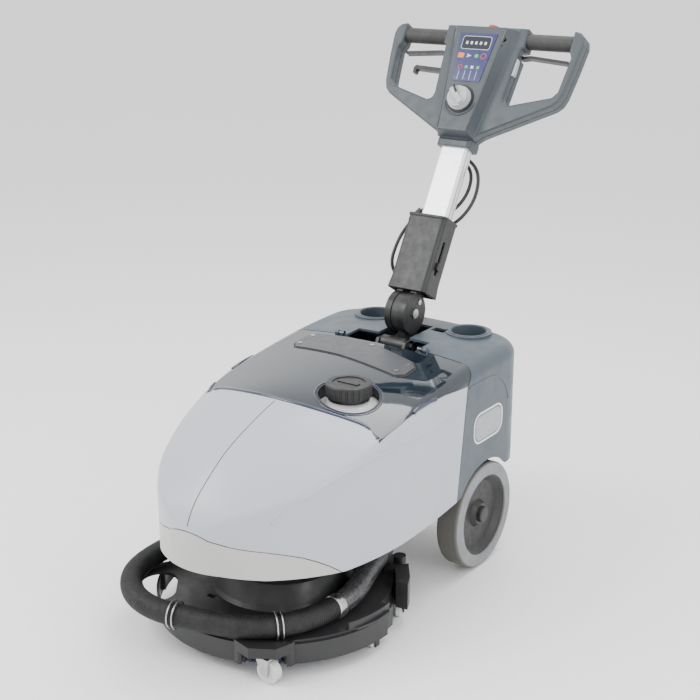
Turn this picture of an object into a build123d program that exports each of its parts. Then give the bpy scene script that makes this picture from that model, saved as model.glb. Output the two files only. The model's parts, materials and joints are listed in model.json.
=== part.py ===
"""Walk-behind floor scrubber: solution tank hood, smoked recovery lid, tilting handle, swivelling brush deck.

Millimetres. The origin is on the floor under the brush axis, -Y is the nose and +Z is up.
Pieces called left are at -X, and those called right are at +X.
"""

import os
from math import cos, degrees, radians, sin, tan

from build123d import *

os.makedirs("parts", exist_ok=True)

# ---------------------------------------------------------------- driving dimensions
GAP = 0.4                     # play between pieces that move past each other

# casings
BODY_HALF = 201               # half width over the side walls
NOSE_START = 102              # the side walls draw in from here to the nose
NOSE_LENGTH = 340             # long half axis of the nose's ellipse
REAR_Y = 488                  # back wall
REAR_CORNER = 70
WALL = 4.5
SHOULDER = 24                 # round between crown and walls
CROWN = [                     # y, z on the centre line, fall at the side walls
    (-252, 206, 74),
    (-238, 244, 109),
    (-222, 275, 108),
    (-185, 310, 103),
    (-138, 342, 95),
    (-83, 366, 80),
    (-11, 389, 61),
    (80, 400, 37),
    (190, 406, 22),
    (330, 410, 11),
    (510, 410, 11),
]
SEAM_LOW = (241, 150)         # y, z of the joint between the tanks and the rear body
SEAM_HIGH = (268, 371)
LID_FRONT = [(-60, 445), (-9, 390), (-2, 385), (12, 375.5), (24, 365.5), (23, 358), (14, 347)]
LID_SIDE = [(36, 354), (58, 359.5), (86, 366), (116, 371), (158, 375), (198, 376), (268, 371)]
LID_REAR_Y = 296.5
LID_PIVOT = (297.5, 409.5)    # y, z of the lid's hinge
POCKET_HALF = 80              # half width of the notch in front of the handle bracket
POCKET_FRONT = 286
HINGE_X = 90                  # middle of each lid hinge, across

# wheels
WHEEL_R = 100
WHEEL_Y = 342
TYRE_WIDTH = 44
TYRE_OUT = 202                # outer face of the tyre
RIM_R = 76
AXLE_R = 7.5
RUN = 0.06                    # radial running clearance of shafts

# deck
DECK_R = 212
SKIRT_R = 216.5
DECK_TOP = 62
DECK_REAR_R = 190             # the deck steps in here for the squeegee
LOBE_R = 92
LOBE_AT = (-126, -126)
TOWER_R = 88
SQUEEGEE_R = 206
HOSE_R = 19.5
HOSE_Z = DECK_TOP + HOSE_R + 0.5
CASTER_ANGLE = -60
CASTER_REACH = 225

# handle
PIVOT = (0, 378, 445)
LEAN = 30                     # degrees back from upright
KNUCKLE_R = 38
TUBE_HALF = 28.5
TUBE_BACK = -26
BOX_LOW, BOX_HIGH = 38, 186
BAR_TOP = 573
GRIP_S = 553
GRIP_R = 15
BAR_FRONT, BAR_SPLIT, BAR_BACK = 5, -12, -29

UP = (0, sin(radians(LEAN)), cos(radians(LEAN)))
OUT = (0, -cos(radians(LEAN)), sin(radians(LEAN)))
STEM = Plane(origin=PIVOT, x_dir=(1, 0, 0), z_dir=UP)      # local y points to the handle's back
FACE = Plane(origin=PIVOT, x_dir=(1, 0, 0), z_dir=OUT)     # local y runs up the handle


def finish(piece, label):
    piece.part.label = label
    export_step(piece.part, f"parts/{label}.step")


def outline(plane, points):
    """Flat face through the points on a plane."""
    with BuildSketch(plane) as face:
        with BuildLine():
            Polyline(*points, close=True)
        make_face()
    return face.sketch


def on_handle(x, up, out):
    """Global place of a point given across, up and out of the handle."""
    spot = FACE.origin + Vector(x, 0, 0) + Vector(*UP) * up + Vector(*OUT) * out
    return (spot.X, spot.Y, spot.Z)


def round_route(points, limit):
    """Straight runs joined by arcs as large as the runs allow; prints the radii."""
    spots = [Vector(*point) for point in points]
    radii = []
    for before, at, after in zip(spots, spots[1:], spots[2:]):
        turn = radians((at - before).get_angle(after - at))
        shorter = min((at - before).length, (after - at).length)
        radii.append(0.45 * shorter / tan(turn / 2))
    print("cord radii", [round(radius) for radius in radii], "least allowed", limit)
    return [tuple(spot) for spot in spots], radii


# ---------------------------------------------------------------- casings
def plan_outline(inset, floor):
    half = BODY_HALF - inset
    with BuildSketch(Plane.XY.offset(floor)) as plan:
        with Locations((0, NOSE_START)):
            Ellipse(half, NOSE_LENGTH - inset)
        with Locations((0, NOSE_START + NOSE_LENGTH)):
            Rectangle(3 * BODY_HALF, 2 * NOSE_LENGTH, mode=Mode.SUBTRACT)
        with Locations((0, (NOSE_START + REAR_Y - inset) / 2)):
            Rectangle(2 * half, REAR_Y - inset - NOSE_START)
        fillet(plan.vertices().group_by(Axis.Y)[-1], REAR_CORNER - inset)
    return plan.sketch


def casing_form(inset, floor=120):
    """Everything inside the casings' outer skin, drawn in by inset."""
    with BuildPart() as form:
        for share in (-1, -0.6, 0, 0.6, 1):
            fall = share ** 2
            with BuildSketch(Plane.YZ.offset(share * BODY_HALF * 1.02)):
                with BuildLine():
                    top = Spline(*[(y, z - inset - fall * drop) for y, z, drop in CROWN])
                    Polyline(top @ 1, (CROWN[-1][0], floor), (CROWN[0][0], floor), top @ 0)
                make_face()
        loft()
        extrude(plan_outline(inset, floor), amount=400, mode=Mode.INTERSECT)
        rim = form.edges().filter_by(lambda e: e.center().Z > 235 and e.length > 30)
        side_rim = [e for e in rim if e.bounding_box().size.Z > 2 or abs(e.center().X) > 150 or e.center().Y > 400]
        if SHOULDER - inset > 1:
            fillet(side_rim, SHOULDER - inset)
    return form.part


OUTER = casing_form(0)
INNER = casing_form(WALL, floor=100)
with BuildPart() as casing:
    add(OUTER)
    add(INNER, mode=Mode.SUBTRACT)
SKIN = casing.part

FRONT_ZONE = [(-300, 180), (-225, 176), (-183, 167), (-137, 161), (-89, 155), (-62, 152), (66, 153), (151, 155),
              (SEAM_LOW[0], 163),
              (SEAM_HIGH[0], SEAM_HIGH[1]), (LID_REAR_Y, 400), (LID_REAR_Y, 460), (-300, 460)]
LID_ZONE = [*LID_FRONT, *LID_SIDE, (LID_REAR_Y, 400), (LID_REAR_Y, 460), (-60, 460)]
BUMPER_ZONE = [(-300, 140), (-300, 246), (-239, 246), (-231, 234.5), (-217, 227), (-200, 221), (-178, 214.5),
               (-155, 206), (-132, 196), (-111, 184), (-90, 170), (-72, 156), (-60, 145), (-60, 140)]
REAR_ZONE = [(SEAM_LOW[0] + 1.6, 163), (SEAM_HIGH[0] + 1.6, SEAM_HIGH[1]), (LID_REAR_Y + 2, 400),
             (LID_REAR_Y + 2, 460), (560, 460), (560, 178), (300, 178)]


def build_solution_tank():
    with BuildPart() as solution_tank:
        add(SKIN)
        extrude(outline(Plane.YZ, FRONT_ZONE), amount=300, both=True, mode=Mode.INTERSECT)
        extrude(outline(Plane.YZ, LID_ZONE), amount=300, both=True, mode=Mode.SUBTRACT)
        extrude(outline(Plane.YZ, BUMPER_ZONE), amount=300, both=True, mode=Mode.SUBTRACT)
    finish(solution_tank, "solution_tank")


def build_front_bumper():
    with BuildPart() as front_bumper:
        add(SKIN)
        extrude(outline(Plane.YZ, FRONT_ZONE), amount=300, both=True, mode=Mode.INTERSECT)
        inner = [(y - 1 if y > -300 else y, z - 1) for y, z in BUMPER_ZONE]
        extrude(outline(Plane.YZ, inner), amount=300, both=True, mode=Mode.INTERSECT)
    finish(front_bumper, "front_bumper")


def build_tank_lid():
    margin = 1.2
    zone = [(y + margin, z + margin) for y, z in LID_FRONT] + [(y, z + margin) for y, z in LID_SIDE[:-1]]
    zone += [(LID_SIDE[-1][0] - 1, LID_SIDE[-1][1] + margin), (LID_REAR_Y - 1, 401), (LID_REAR_Y, 460), (-58, 460)]
    with BuildPart() as tank_lid:
        add(SKIN)
        extrude(outline(Plane.YZ, zone), amount=300, both=True, mode=Mode.INTERSECT)
        with Locations((0, (POCKET_FRONT + 320) / 2, 400)):
            Box(2 * POCKET_HALF, 320 - POCKET_FRONT, 160, mode=Mode.SUBTRACT)
        for side in (-1, 1):
            with Locations((side * (POCKET_HALF + 1.5), POCKET_FRONT - 1, 391)):
                Box(3, 4, 26)
        with Locations((0, POCKET_FRONT - 1.5, 391)):
            Box(2 * POCKET_HALF + 6, 3, 26)
        with Locations((FILLER[0], FILLER[1], 390)):
            Cylinder(NECK_FLANGE_R + 0.4, 60, mode=Mode.SUBTRACT)
        for side in (-1, 1):
            with Locations(Location((side * (HINGE_X - 5), LID_PIVOT[0], LID_PIVOT[1]), (0, 90, 0))):
                Cylinder(4.5, 9)
            with Locations((side * (HINGE_X - 5), LID_PIVOT[0] - 5, LID_PIVOT[1] - 3.3)):
                Box(9, 7, 4)
            with Locations(Location((side * (HINGE_X - 5), LID_PIVOT[0], LID_PIVOT[1]), (0, 90, 0))):
                Cylinder(PIN_R + RUN, 12, mode=Mode.SUBTRACT)
            with Locations(Location((side * (HINGE_X + 5.5), LID_PIVOT[0], LID_PIVOT[1]), (0, 90, 0))):
                Cylinder(5.3, 10, mode=Mode.SUBTRACT)
    finish(tank_lid, "tank_lid")


FILLER = (88, 72)
NECK_R = 33
CAP_R = 39
PIN_R = 2
FILLER_Z = 392                # underside of the cap
DISH_LOW = 376                # floor of the dish round the neck
NECK_FLANGE_R = 54

PLATE_OUTLINE = [(-124, 206), (-137, 222), (-141, 262), (-128, 279), (-60, 282), (8, 274), (30, 262),
                 (104, 240), (120, 222), (122, 190), (108, 176), (60, 182), (-20, 196)]
PLATE_SCREWS = [(-126, 222), (-128, 264), (4, 264), (104, 226), (104, 190)]


def build_lid_cover_plate():
    rise = 2.4
    proud = casing_form(-rise)
    with BuildPart() as lid_cover_plate:
        add(proud)
        add(OUTER, mode=Mode.SUBTRACT)
        extrude(outline(Plane.XY.offset(350), PLATE_OUTLINE), amount=100, mode=Mode.INTERSECT)
        with Locations((0, (POCKET_FRONT + 320) / 2, 400)):
            Box(2 * POCKET_HALF, 320 - POCKET_FRONT, 160, mode=Mode.SUBTRACT)
        with Locations(*[(x, y, 420) for x, y in PLATE_SCREWS]):
            Cylinder(2.1, 60, mode=Mode.SUBTRACT)
    finish(lid_cover_plate, "lid_cover_plate")


def crown_height(x, y):
    """Height of the casing's skin over a point of the plan."""
    for (y0, z0, drop0), (y1, z1, drop1) in zip(CROWN, CROWN[1:]):
        if y0 <= y <= y1:
            part = (y - y0) / (y1 - y0)
            fall = (x / (BODY_HALF * 1.02)) ** 2
            return z0 + part * (z1 - z0) - fall * (drop0 + part * (drop1 - drop0))
    return CROWN[-1][1]


def build_lid_plate_screws():
    with BuildPart() as lid_plate_screws:
        for x, y in PLATE_SCREWS:
            head = crown_height(x, y) + 2.4
            with Locations((x, y, head + 1.2)):
                Cylinder(4.2, 1.8)
            with Locations((x, y, head - 0.8)):
                Cylinder(2, 2.4)
    finish(lid_plate_screws, "lid_plate_screws")


def build_filler_neck():
    with BuildPart() as filler_neck:
        with BuildSketch(Plane.XY.offset(DISH_LOW)):
            with Locations(FILLER):
                Circle(NECK_FLANGE_R)
                Circle(NECK_FLANGE_R - 3, mode=Mode.SUBTRACT)
        extrude(amount=50)
        add(OUTER, mode=Mode.INTERSECT)
        with BuildSketch(Plane.XY.offset(DISH_LOW - 3)):
            with Locations(FILLER):
                Circle(NECK_FLANGE_R)
                Circle(NECK_R - 4, mode=Mode.SUBTRACT)
        extrude(amount=3)
        with BuildSketch(Plane.XY.offset(DISH_LOW - 3)):
            with Locations(FILLER):
                Circle(NECK_R)
                Circle(NECK_R - 4, mode=Mode.SUBTRACT)
        extrude(amount=404 - DISH_LOW + 3)
    finish(filler_neck, "filler_neck")


def build_filler_cap():
    ribs = 24
    with BuildPart() as filler_cap:
        with BuildSketch(Plane.XY.offset(FILLER_Z + GAP)):
            with Locations(FILLER):
                Circle(CAP_R)
        extrude(amount=22)
        fillet(filler_cap.faces().sort_by(Axis.Z)[-1].edges(), 2.5)
        with Locations((FILLER[0], FILLER[1], FILLER_Z + GAP)):
            Cylinder(NECK_R + 0.5, 12, align=(Align.CENTER, Align.CENTER, Align.MIN), mode=Mode.SUBTRACT)
            with PolarLocations(CAP_R + 0.6, ribs):
                Cylinder(2, 19, align=(Align.CENTER, Align.CENTER, Align.MIN), mode=Mode.SUBTRACT)
        with Locations((FILLER[0], FILLER[1], FILLER_Z + GAP + 22)):
            Cylinder(28, 1.5, align=(Align.CENTER, Align.CENTER, Align.MAX), mode=Mode.SUBTRACT)
            Box(40, 9, 2, align=(Align.CENTER, Align.CENTER, Align.MAX))
    finish(filler_cap, "filler_cap")


RECESS_AT = (102.6, 438)
RECESS_R = 32.5
RECESS_DEPTH = 34
RIM_TOP = 411


def build_rear_body():
    with BuildPart() as rear_body:
        add(SKIN)
        extrude(outline(Plane.YZ, REAR_ZONE), amount=300, both=True, mode=Mode.INTERSECT)
        with Locations(Location((0, WHEEL_Y, WHEEL_R), (0, 90, 0))):
            Cylinder(WHEEL_R + 8, 3 * BODY_HALF, mode=Mode.SUBTRACT)
        with Locations((0, 316, 440)):
            Box(2 * POCKET_HALF - 4, 52, 120, mode=Mode.SUBTRACT)
        with Locations((0, 380, 440)):
            Box(68, 90, 120, mode=Mode.SUBTRACT)
        for side in (-1, 1):
            spot = (side * RECESS_AT[0], RECESS_AT[1])
            with BuildSketch(Plane.XY.offset(RIM_TOP - RECESS_DEPTH - 3)):
                with Locations(spot):
                    Circle(RECESS_R + 3)
            extrude(amount=RECESS_DEPTH + 3)
            with BuildSketch(Plane.XY.offset(RIM_TOP - 8)):
                with Locations(spot):
                    Circle(43)
            extrude(amount=8)
            with BuildSketch(Plane.XY.offset(RIM_TOP - RECESS_DEPTH)):
                with Locations(spot):
                    Circle(RECESS_R)
            extrude(amount=RECESS_DEPTH + 20, mode=Mode.SUBTRACT)
            with Locations(Location((side * (HINGE_X - 5), LID_PIVOT[0], LID_PIVOT[1]), (0, 90, 0))):
                Cylinder(5.5, 10.5, mode=Mode.SUBTRACT)
            with Locations(Location((side * (HINGE_X + 5.5), LID_PIVOT[0], LID_PIVOT[1]), (0, 90, 0))):
                Cylinder(4.5, 8)
            with Locations((side * (HINGE_X + 5.5), LID_PIVOT[0] + 5, LID_PIVOT[1] - 3.5)):
                Box(8, 10, 5)
            with Locations(Location((side * (HINGE_X + 5.5), LID_PIVOT[0], LID_PIVOT[1]), (0, 90, 0))):
                Cylinder(PIN_R, 12, mode=Mode.SUBTRACT)
        with Locations((54, 414, 410)):
            Box(28, 20, 60, mode=Mode.SUBTRACT)
    finish(rear_body, "rear_body")


def build_lid_hinge_pins():
    with BuildPart() as lid_hinge_pins:
        for side in (-1, 1):
            with Locations(Location((side * HINGE_X, LID_PIVOT[0], LID_PIVOT[1]), (0, 90, 0))):
                Cylinder(PIN_R, 19)
    finish(lid_hinge_pins, "lid_hinge_pins")


def build_recovery_tank():
    """Open tub under the lid."""
    with BuildPart() as recovery_tank:
        with BuildSketch(Plane.XY.offset(236)):
            with Locations((0, 130)):
                RectangleRounded(352, 262, 30)
        extrude(amount=108)
        with BuildSketch(Plane.XY.offset(240)):
            with Locations((0, 130)):
                RectangleRounded(344, 254, 26)
        extrude(amount=120, mode=Mode.SUBTRACT)
    finish(recovery_tank, "recovery_tank")


# ---------------------------------------------------------------- chassis
PLATE_LOW = 164


def build_chassis_frame():
    with BuildPart() as chassis_frame:
        with BuildSketch(Plane.XY.offset(PLATE_LOW)):
            with Locations((0, -18)):
                Circle(170)
            with Locations((0, 138)):
                Rectangle(340, 214)
            with Locations((0, 340)):
                Rectangle(290, 250)
            Rectangle(380, 1200, mode=Mode.INTERSECT)
            Circle(TOWER_R + 3, mode=Mode.SUBTRACT)
            with Locations((-120, 96)):
                Circle(31, mode=Mode.SUBTRACT)
        extrude(amount=4)
        for side in (-1, 1):
            with BuildSketch(Plane.YZ.offset(side * 132)):
                with BuildLine():
                    Polyline((WHEEL_Y - 50, PLATE_LOW), (WHEEL_Y - 24, 82), (WHEEL_Y + 24, 82),
                             (WHEEL_Y + 50, PLATE_LOW), close=True)
                make_face()
                with Locations((WHEEL_Y, WHEEL_R)):
                    Circle(AXLE_R, mode=Mode.SUBTRACT)
            extrude(amount=5 * side)
            with Locations((side * 137, 300, PLATE_LOW + 16)):
                Box(8, 300, 24)
    finish(chassis_frame, "chassis_frame")


def build_swivel_bearing():
    with BuildPart() as swivel_bearing:
        with BuildSketch(Plane.XY.offset(PLATE_LOW - 12)):
            Circle(TOWER_R + 12)
            Circle(TOWER_R + GAP, mode=Mode.SUBTRACT)
        extrude(amount=12)
    finish(swivel_bearing, "swivel_bearing")


def build_axle():
    with BuildPart() as axle:
        with Locations(Location((0, WHEEL_Y, WHEEL_R), (0, 90, 0))):
            Cylinder(AXLE_R, 2 * 196)
        for side in (-1, 1):
            with Locations(Location((side * 150, WHEEL_Y, WHEEL_R), (0, 90, 0))):
                Cylinder(12, 6)
    finish(axle, "axle")


def build_batteries():
    """Two gel batteries with terminal posts, one each side of the handle column."""
    with BuildPart() as batteries:
        for side in (-1, 1):
            with Locations((side * 112, 335, 284)):
                Box(130, 104, 150)
            with Locations((side * 80, 300, 363), (side * 144, 300, 363)):
                Cylinder(7, 8)
    finish(batteries, "batteries")


def build_vacuum_motor():
    with BuildPart() as vacuum_motor:
        with BuildSketch(Plane.XY.offset(PLATE_LOW + 4)):
            with Locations((60, 170)):
                Circle(62)
        extrude(amount=34)
        with BuildSketch(Plane.XY.offset(PLATE_LOW + 38)):
            with Locations((60, 170)):
                Circle(44)
        extrude(amount=26)
    finish(vacuum_motor, "vacuum_motor")


def build_solution_pump():
    with BuildPart() as solution_pump:
        with Locations((120, 50, PLATE_LOW + 24)):
            Box(60, 44, 40)
        with Locations(Location((120, 92, PLATE_LOW + 26), (90, 0, 0))):
            Cylinder(17, 40)
    finish(solution_pump, "solution_pump")


def build_handle_column():
    with BuildPart() as handle_column:
        with BuildSketch(Plane.XY.offset(PLATE_LOW + 4)):
            with Locations((0, 360)):
                Rectangle(70, 64)
                Rectangle(62, 56, mode=Mode.SUBTRACT)
        extrude(amount=200)
    finish(handle_column, "handle_column")


WEB_HALF = 8
BASE_LOW = PLATE_LOW + 204


def build_knuckle_base():
    """Cast foot with the upright web and disc that the handle tilts on."""
    with BuildPart() as knuckle_base:
        with Locations((0, 356, BASE_LOW + 5)):
            Box(84, 128, 10)
        with Locations((0, 388, BASE_LOW + 17)):
            Box(58, 44, 16)
        with BuildSketch(Plane.YZ.offset(-WEB_HALF)):
            with Locations((PIVOT[1], PIVOT[2])):
                Circle(KNUCKLE_R - 2)
            with BuildLine():
                Polyline((368, BASE_LOW + 20), (410, BASE_LOW + 20), (405, 425), (364, 425), close=True)
            make_face()
            with Locations((PIVOT[1], PIVOT[2])):
                Circle(BOLT_R + RUN, mode=Mode.SUBTRACT)
        extrude(amount=2 * WEB_HALF)
        for side in (-1, 1):
            with BuildSketch(Plane.YZ.offset(side * 26)):
                with BuildLine():
                    Polyline((318, BASE_LOW + 9), (366, BASE_LOW + 9), (358, 402), (332, 402), close=True)
                make_face()
                with Locations((CLAMP_AT[0], CLAMP_AT[1])):
                    Circle(CLAMP_R, mode=Mode.SUBTRACT)
            extrude(amount=side * 6)
    finish(knuckle_base, "knuckle_base")


CLAMP_AT = (345, 392)
CLAMP_R = 6
BOLT_R = 6


def build_clamp_pin():
    with BuildPart() as clamp_pin:
        with Locations(Location((0, CLAMP_AT[0], CLAMP_AT[1]), (0, 90, 0))):
            Cylinder(CLAMP_R, 78)
            Cylinder(13, 50)
    finish(clamp_pin, "clamp_pin")


# ---------------------------------------------------------------- wheels
def build_wheel(side, word):
    """Tyre, dished rim and hub cap of one transport wheel."""
    inner_face = side * (TYRE_OUT - TYRE_WIDTH)
    plane = Plane(origin=(inner_face, WHEEL_Y, WHEEL_R), x_dir=(0, 1, 0), z_dir=(side, 0, 0))
    with BuildPart() as tyre:
        with BuildSketch(plane):
            Circle(WHEEL_R)
            Circle(RIM_R, mode=Mode.SUBTRACT)
        extrude(amount=TYRE_WIDTH)
        fillet(tyre.edges().filter_by(GeomType.CIRCLE).group_by(SortBy.RADIUS)[-1], 6)
    finish(tyre, f"tyre_{word}")
    with BuildPart() as rim:
        with BuildSketch(Plane(origin=(0, WHEEL_Y, WHEEL_R), x_dir=(side, 0, 0), z_dir=(0, -1, 0))):
            with BuildLine():
                Polyline((TYRE_OUT - 40, AXLE_R + RUN), (TYRE_OUT - 8, AXLE_R + RUN), (TYRE_OUT - 8, 20),
                         (TYRE_OUT - 16, 26), (TYRE_OUT - 14, 62), (TYRE_OUT - 5, RIM_R - 4),
                         (TYRE_OUT - 3, RIM_R), (TYRE_OUT - 40, RIM_R), (TYRE_OUT - 40, RIM_R - 5),
                         (TYRE_OUT - 18, 64), (TYRE_OUT - 22, 22), (TYRE_OUT - 40, 18), close=True)
            make_face()
        revolve(axis=Axis((0, WHEEL_Y, WHEEL_R), (1, 0, 0)))
    finish(rim, f"rim_{word}")
    with BuildPart() as hub_cap:
        with BuildSketch(Plane(origin=(side * (TYRE_OUT - 8), WHEEL_Y, WHEEL_R), x_dir=(0, 1, 0),
                               z_dir=(side, 0, 0))):
            Circle(15)
        extrude(amount=8)
        fillet(hub_cap.faces().sort_by(Axis.X)[-1 if side > 0 else 0].edges(), 3)
        with Locations(Location((side * (TYRE_OUT - 7), WHEEL_Y, WHEEL_R), (0, 90, 0))):
            Cylinder(AXLE_R + 0.5, 4, mode=Mode.SUBTRACT)
    finish(hub_cap, f"hub_cap_{word}")


# ---------------------------------------------------------------- deck
def build_deck_housing():
    profile = [(20, 108), (84, 108), (97, 97), (115, 66), (121, 57), (207, 57), (207, 27), (DECK_R, 27),
               (DECK_R, DECK_TOP), (124, DECK_TOP), (119, 69), (101, 100), (TOWER_R, 112), (TOWER_R, 160),
               (TOWER_R - 5, 160), (TOWER_R - 5, 112), (20, 112)]
    with BuildPart() as deck_housing:
        with BuildSketch(Plane.XZ):
            with BuildLine():
                Polyline(*profile, close=True)
            make_face()
        revolve(axis=Axis.Z)
        with BuildSketch(Plane.XY.offset(DECK_TOP - 5)):
            with Locations(LOBE_AT):
                Circle(LOBE_R)
            Circle(DECK_R - 1, mode=Mode.SUBTRACT)
        extrude(amount=5)
        with BuildSketch(Plane.XY.offset(DECK_TOP - 5)):
            with BuildLine():
                Polyline((150, -130), (205, -66), (216, -30), (217, 4), (206, 17), (150, 17), close=True)
            make_face()
            Circle(DECK_R - 1, mode=Mode.SUBTRACT)
        extrude(amount=5)
        with BuildSketch(Plane.XY.offset(DECK_TOP - 60)):
            with Locations((-153, -148)):
                SlotOverall(100, 62, rotation=128)
        extrude(amount=120, mode=Mode.SUBTRACT)
        with BuildSketch(Plane.XY.offset(20)):
            Circle(DECK_R + 30)
            Circle(DECK_REAR_R, mode=Mode.SUBTRACT)
            with Locations((0, -230)):
                Rectangle(600, 500, mode=Mode.SUBTRACT)
        extrude(amount=60, mode=Mode.SUBTRACT)
        with BuildSketch(Plane.XY.offset(27)):
            Circle(DECK_REAR_R)
            Circle(DECK_REAR_R - 3, mode=Mode.SUBTRACT)
            with Locations((0, -230)):
                Rectangle(600, 500, mode=Mode.SUBTRACT)
        extrude(amount=31)
        for side in (-1, 1):
            with Locations((side * 199, 21.5, (27 + DECK_TOP) / 2)):
                Box(24, 3, DECK_TOP - 27)
        with BuildSketch(Plane.XY.offset(DECK_TOP)):
            Circle(DECK_R)
            Circle(DECK_R - 5, mode=Mode.SUBTRACT)
            with Locations((DECK_R, -35)):
                Rectangle(150, 92, mode=Mode.INTERSECT)
        extrude(amount=12)
        with Locations((-56, -122, 90)):
            Box(16, 10, 80, mode=Mode.SUBTRACT)
        extrude(caster_circle(), amount=46.6, mode=Mode.SUBTRACT)
        x, y, _, radius = ROLLERS["side_roller"]
        with Locations((x, y, (DECK_TOP + 2 * radius) / 2)):
            Box(12, 28, DECK_TOP - 2 * radius - 3)
        with Locations((x + 7.6, y, 30)):
            Box(2.6, 12, 54)
        with Locations(Location((x + 1, y, radius), (0, 90, 0))):
            Cylinder(3, 13)
    finish(deck_housing, "deck_housing")


def build_front_skirt():
    with BuildPart() as front_skirt:
        with BuildSketch(Plane.XY.offset(22)):
            Circle(SKIRT_R)
            Circle(DECK_R + 0.2, mode=Mode.SUBTRACT)
            with Locations((0, 140)):
                Rectangle(500, 280, mode=Mode.SUBTRACT)
        extrude(amount=35)
        extrude(caster_circle(), amount=46.6, mode=Mode.SUBTRACT)
    finish(front_skirt, "front_skirt")


def build_gearmotor():
    with BuildPart() as gearmotor:
        with BuildSketch(Plane.XY.offset(112)):
            Circle(66)
        extrude(amount=34)
        with BuildSketch(Plane.XY.offset(146)):
            Circle(50)
        extrude(amount=78)
        fillet(gearmotor.faces().sort_by(Axis.Z)[-1].edges(), 6)
        with Locations((0, 0, 112)):
            Cylinder(SHAFT_R + RUN, 30, align=(Align.CENTER, Align.CENTER, Align.MIN), mode=Mode.SUBTRACT)
    finish(gearmotor, "gearmotor")


SHAFT_R = 10
BRUSH_R = 184


def build_drive_hub():
    with BuildPart() as drive_hub:
        with BuildSketch(Plane.XY.offset(48)):
            Circle(34)
        extrude(amount=40)
        with BuildSketch(Plane.XY.offset(88)):
            Circle(SHAFT_R)
        extrude(amount=50)
    finish(drive_hub, "drive_hub")


def build_brush_block():
    with BuildPart() as brush_block:
        with BuildSketch(Plane.XY.offset(28)):
            Circle(BRUSH_R)
        extrude(amount=20)
        chamfer(brush_block.faces().sort_by(Axis.Z)[-1].edges(), 4)
    finish(brush_block, "brush_block")


def build_brush_bristles():
    with BuildPart() as brush_bristles:
        with BuildSketch(Plane.XY):
            Circle(BRUSH_R - 4)
            Circle(60, mode=Mode.SUBTRACT)
        extrude(amount=28)
    finish(brush_bristles, "brush_bristles")


def caster_plane(height):
    """Local x points straight out from the deck at the caster."""
    turn = radians(CASTER_ANGLE)
    return Plane(origin=(CASTER_REACH * cos(turn), CASTER_REACH * sin(turn), height),
                 x_dir=(cos(turn), sin(turn), 0), z_dir=(0, 0, 1))


def caster_circle():
    with BuildSketch(caster_plane(0)) as circle:
        Circle(CASTER_CLEAR)
    return circle.sketch


def build_caster_bracket():
    """Block on the skirt with a cap over the caster and a brace down each side."""
    reach = SKIRT_R - CASTER_REACH
    with BuildPart() as caster_bracket:
        with BuildSketch(caster_plane(47)):
            with BuildLine():
                Polyline((reach + 0.5, -48), (reach + 0.5, 48), (-2, 42), (17, 22), (17, -22), (-2, -42), close=True)
            make_face()
        extrude(amount=18)
        for side in (-1, 1):
            with BuildSketch(caster_plane(24)):
                with BuildLine():
                    Polyline((reach + 0.5, side * 36), (reach + 0.5, side * 48), (-2, side * 42), (-2, side * 36), close=True)
                make_face()
            extrude(amount=24)
        with BuildSketch(caster_plane(47)):
            Circle(STUD_R + RUN)
        extrude(amount=12, mode=Mode.SUBTRACT)
    finish(caster_bracket, "caster_bracket")


STUD_R = 4
CASTER_WHEEL_R = 20
CASTER_TRAIL = 11
CASTER_CLEAR = 34             # the caster's turning circle


def build_caster_fork():
    spot = caster_plane(0).origin
    with BuildPart() as caster_fork:
        with Locations((spot.X, spot.Y, 52)):
            Cylinder(STUD_R, 14)
        with Locations((spot.X + CASTER_TRAIL / 2, spot.Y, 44)):
            Box(26, 27, 3.6)
        for side in (-1, 1):
            with BuildSketch(Plane.XZ.offset(-spot.Y + side * 11)):
                with BuildLine():
                    Polyline((spot.X - 5, 42.5), (spot.X + 19, 42.5), (spot.X + CASTER_TRAIL + 6, 16),
                             (spot.X + CASTER_TRAIL - 6, 16), close=True)
                make_face()
            extrude(amount=2.4 * side)
        with Locations(Location((spot.X + CASTER_TRAIL, spot.Y, CASTER_WHEEL_R), (90, 0, 0))):
            Cylinder(3, 22.2)
    finish(caster_fork, "caster_fork")


def build_caster_wheel():
    spot = caster_plane(0).origin
    with BuildPart() as caster_wheel:
        with BuildSketch(Plane(origin=(spot.X + CASTER_TRAIL, spot.Y - 9, CASTER_WHEEL_R), x_dir=(1, 0, 0),
                               z_dir=(0, 1, 0))):
            Circle(CASTER_WHEEL_R)
            Circle(3 + RUN, mode=Mode.SUBTRACT)
        extrude(amount=18)
        fillet(caster_wheel.edges().filter_by(GeomType.CIRCLE).group_by(SortBy.RADIUS)[-1], 4)
    finish(caster_wheel, "caster_wheel")


ROLLERS = {                   # x, y, direction of the axis in degrees, radius
    "side_roller": (197, -14, 0, 14),
    "squeegee_roller_left": (-177, 94, 152, 15),
    "squeegee_roller_right": (177, 94, 28, 15),
}


def build_roller(word, x, y, turn, radius):
    along = Vector(cos(radians(turn)), sin(radians(turn)), 0)
    start = Vector(x, y, radius) - along * 6
    start = start + along
    with BuildPart() as roller:
        with BuildSketch(Plane(origin=start, x_dir=(0, 0, 1), z_dir=along)):
            Circle(radius)
            Circle(3 + RUN, mode=Mode.SUBTRACT)
        extrude(amount=10)
        fillet(roller.edges().filter_by(GeomType.CIRCLE).group_by(SortBy.RADIUS)[-1], 2)
    finish(roller, word)


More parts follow.
